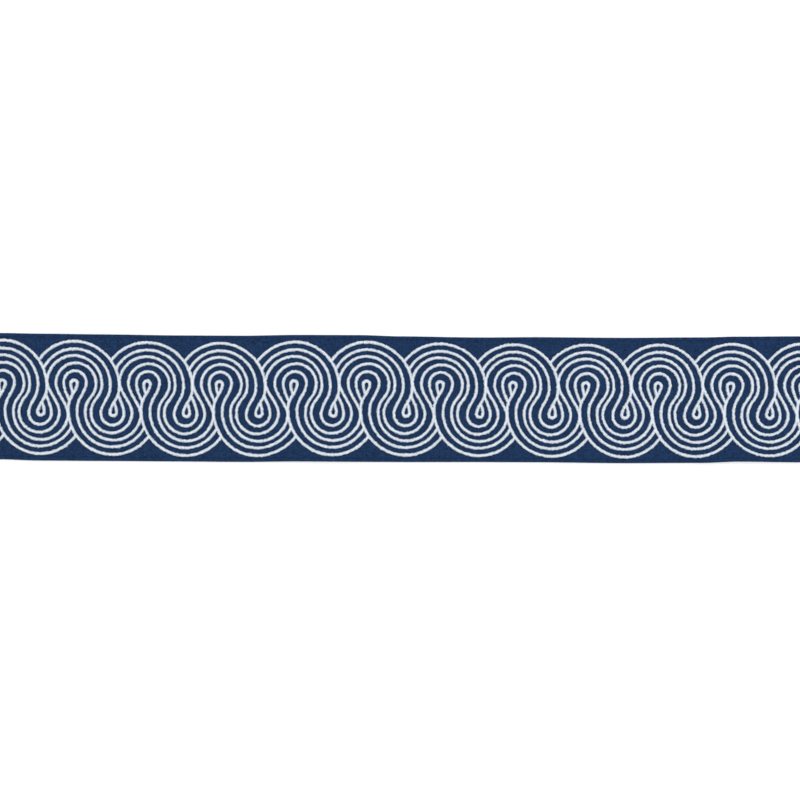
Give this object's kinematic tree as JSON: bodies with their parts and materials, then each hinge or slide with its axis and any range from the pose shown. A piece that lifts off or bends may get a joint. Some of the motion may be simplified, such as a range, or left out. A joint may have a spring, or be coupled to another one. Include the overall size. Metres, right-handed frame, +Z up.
{
  "type": "length of embroidered trim",
  "caption": "Flat cut length of woven tape with a raised satin-stitched scroll of interlaced waves along it, for edging clothes and furnishings.",
  "frame": {"origin": "bottom centre of the tape, on the surface that it lies on", "axes": "+X along the tape, +Y across it towards its upper edge in the picture, +Z up out of its stitched face"},
  "size_m": [0.4876, 0.0772, 0.0033],
  "materials": {
    "navy_cloth": "matt woven navy cloth",
    "white_thread": "softly shining white embroidery thread"
  },
  "bodies": {
    "root": {"woven_tape": "navy_cloth", "scroll_upper": "white_thread", "scroll_lower": "white_thread"}
  },
  "joints": []
}
